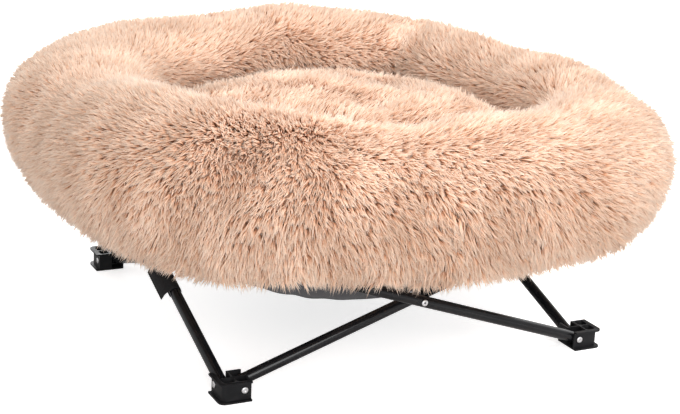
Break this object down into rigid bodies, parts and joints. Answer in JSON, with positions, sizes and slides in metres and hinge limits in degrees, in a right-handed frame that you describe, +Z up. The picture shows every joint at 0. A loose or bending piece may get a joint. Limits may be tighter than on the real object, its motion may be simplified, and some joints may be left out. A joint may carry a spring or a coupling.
{
  "type": "raised pet chair",
  "caption": "Raised round plush pet bed with a thick rim and centre cushion, lying in a fabric sling on a low folding frame of crossed tubes with moulded corner feet.",
  "frame": {"origin": "on the floor, under the middle of the bed", "axes": "+X to the right and +Y to the back as seen from the front, +Z up"},
  "size_m": [0.9684, 0.9684, 0.4047],
  "materials": {
    "moulding": "black moulded nylon, fine matt grain",
    "steel": "black powder coat, semi-gloss",
    "rivet": "plated tubular rivet",
    "nylon": "black nylon washer",
    "webbing": "charcoal hook-and-loop webbing",
    "sling": "charcoal coated oxford weave",
    "binding": "black woven edge binding",
    "plush": "long-pile apricot faux fur",
    "base": "plain apricot lining cloth over padding"
  },
  "bodies": {
    "foot_front_left": {"foot_front_left": "moulding", "foot_front_left_inner_rivet": "rivet", "foot_front_left_outer_rivet": "rivet"},
    "hub_front_left": {"hub_front_left": "moulding", "hub_front_left_inner_rivet": "rivet", "hub_front_left_outer_rivet": "rivet"},
    "foot_front_right": {"foot_front_right": "moulding", "foot_front_right_inner_rivet": "rivet", "foot_front_right_outer_rivet": "rivet"},
    "hub_front_right": {"hub_front_right": "moulding", "hub_front_right_inner_rivet": "rivet", "hub_front_right_outer_rivet": "rivet"},
    "foot_rear_right": {"foot_rear_right": "moulding", "foot_rear_right_inner_rivet": "rivet", "foot_rear_right_outer_rivet": "rivet"},
    "hub_rear_right": {"hub_rear_right": "moulding", "hub_rear_right_inner_rivet": "rivet", "hub_rear_right_outer_rivet": "rivet"},
    "foot_rear_left": {"foot_rear_left": "moulding", "foot_rear_left_inner_rivet": "rivet", "foot_rear_left_outer_rivet": "rivet"},
    "hub_rear_left": {"hub_rear_left": "moulding", "hub_rear_left_inner_rivet": "rivet", "hub_rear_left_outer_rivet": "rivet"},
    "tube_front_inner": {"tube_front_inner": "steel", "cross_front_rivet": "rivet", "cross_front_spacer": "nylon"},
    "tube_front_outer": {"tube_front_outer": "steel"},
    "tube_right_inner": {"tube_right_inner": "steel"},
    "tube_right_outer": {"tube_right_outer": "steel", "cross_right_rivet": "rivet", "cross_right_spacer": "nylon"},
    "tube_rear_inner": {"tube_rear_inner": "steel"},
    "tube_rear_outer": {"tube_rear_outer": "steel", "cross_rear_rivet": "rivet", "cross_rear_spacer": "nylon"},
    "tube_left_inner": {"tube_left_inner": "steel"},
    "tube_left_outer": {"tube_left_outer": "steel", "cross_left_rivet": "rivet", "cross_left_spacer": "nylon", "tie_strap": "webbing"},
    "bed": {"bolster": "plush", "centre_cushion": "plush", "bed_base": "base", "sling": "sling", "sling_front_binding": "binding", "sling_right_binding": "binding", "sling_rear_binding": "binding", "sling_left_binding": "binding", "sling_front_left_patch": "binding", "sling_front_right_patch": "binding", "sling_rear_right_patch": "binding", "sling_rear_left_patch": "binding"}
  },
  "joints": [
    {"name": "frame_fold", "type": "hinge", "parent": "foot_rear_right", "child": "tube_right_outer", "pos_m": [0.284, 0.264, 0.015], "axis": [-1, 0, 0], "range_deg": [0, 61.5]},
    {"name": "front_right_hub_pivot", "type": "hinge", "parent": "tube_right_outer", "child": "hub_front_right", "pos_m": [0.284, -0.264, 0.19167], "axis": [-1, 0, 0], "range_deg": [-61.5, 0]},
    {"name": "right_crossing", "type": "hinge", "parent": "tube_right_outer", "child": "tube_right_inner", "pos_m": [0.275, 0, 0.10333], "axis": [-1, 0, 0], "range_deg": [-123, 0]},
    {"name": "front_right_foot_pivot", "type": "hinge", "parent": "tube_right_inner", "child": "foot_front_right", "pos_m": [0.266, -0.264, 0.015], "axis": [-1, 0, 0], "range_deg": [0, 61.5]},
    {"name": "rear_right_hub_pivot", "type": "hinge", "parent": "tube_right_inner", "child": "hub_rear_right", "pos_m": [0.266, 0.264, 0.19167], "axis": [-1, 0, 0], "range_deg": [0, 61.5]},
    {"name": "front_inner_tube_pivot", "type": "hinge", "parent": "hub_front_right", "child": "tube_front_inner", "pos_m": [0.264, -0.266, 0.19167], "axis": [0, -1, 0], "range_deg": [0, 61.5]},
    {"name": "front_left_foot_pivot", "type": "hinge", "parent": "tube_front_inner", "child": "foot_front_left", "pos_m": [-0.264, -0.266, 0.015], "axis": [0, -1, 0], "range_deg": [-61.5, 0]},
    {"name": "front_crossing", "type": "hinge", "parent": "tube_front_inner", "child": "tube_front_outer", "pos_m": [0, -0.275, 0.10333], "axis": [0, -1, 0], "range_deg": [-123, 0]},
    {"name": "rear_outer_tube_pivot", "type": "hinge", "parent": "hub_rear_right", "child": "tube_rear_outer", "pos_m": [0.264, 0.284, 0.19167], "axis": [0, 1, 0], "range_deg": [-61.5, 0]},
    {"name": "rear_left_foot_pivot", "type": "hinge", "parent": "tube_rear_outer", "child": "foot_rear_left", "pos_m": [-0.264, 0.284, 0.015], "axis": [0, 1, 0], "range_deg": [0, 61.5]},
    {"name": "rear_crossing", "type": "hinge", "parent": "tube_rear_outer", "child": "tube_rear_inner", "pos_m": [0, 0.275, 0.10333], "axis": [0, 1, 0], "range_deg": [0, 123]},
    {"name": "rear_left_hub_pivot", "type": "hinge", "parent": "tube_rear_inner", "child": "hub_rear_left", "pos_m": [-0.264, 0.266, 0.19167], "axis": [0, 1, 0], "range_deg": [-61.5, 0]},
    {"name": "left_outer_tube_pivot", "type": "hinge", "parent": "foot_front_left", "child": "tube_left_outer", "pos_m": [-0.284, -0.264, 0.015], "axis": [1, 0, 0], "range_deg": [0, 61.5]},
    {"name": "left_crossing", "type": "hinge", "parent": "tube_left_outer", "child": "tube_left_inner", "pos_m": [-0.275, 0, 0.10333], "axis": [1, 0, 0], "range_deg": [-123, 0]},
    {"name": "front_left_hub_pivot", "type": "hinge", "parent": "tube_left_inner", "child": "hub_front_left", "pos_m": [-0.266, -0.264, 0.19167], "axis": [1, 0, 0], "range_deg": [0, 61.5]},
    {"name": "bed_lift", "type": "slide", "parent": "hub_rear_right", "child": "bed", "axis": [0.5216, 0.5216, 0.6751], "range_m": [0, 0.4144]}
  ],
  "couplings": [
    {"joint": "front_right_hub_pivot", "follows": "frame_fold", "ratio": -1},
    {"joint": "right_crossing", "follows": "frame_fold", "ratio": -2},
    {"joint": "front_right_foot_pivot", "follows": "frame_fold", "ratio": 1},
    {"joint": "rear_right_hub_pivot", "follows": "frame_fold", "ratio": 1},
    {"joint": "front_inner_tube_pivot", "follows": "frame_fold", "ratio": 1},
    {"joint": "front_left_foot_pivot", "follows": "frame_fold", "ratio": -1},
    {"joint": "front_crossing", "follows": "frame_fold", "ratio": -2},
    {"joint": "rear_outer_tube_pivot", "follows": "frame_fold", "ratio": -1},
    {"joint": "rear_left_foot_pivot", "follows": "frame_fold", "ratio": 1},
    {"joint": "rear_crossing", "follows": "frame_fold", "ratio": 2},
    {"joint": "rear_left_hub_pivot", "follows": "frame_fold", "ratio": -1},
    {"joint": "left_outer_tube_pivot", "follows": "frame_fold", "ratio": 1},
    {"joint": "left_crossing", "follows": "frame_fold", "ratio": -2},
    {"joint": "front_left_hub_pivot", "follows": "frame_fold", "ratio": 1},
    {"joint": "bed_lift", "follows": "frame_fold", "m_per_rad": 0.38512}
  ]
}
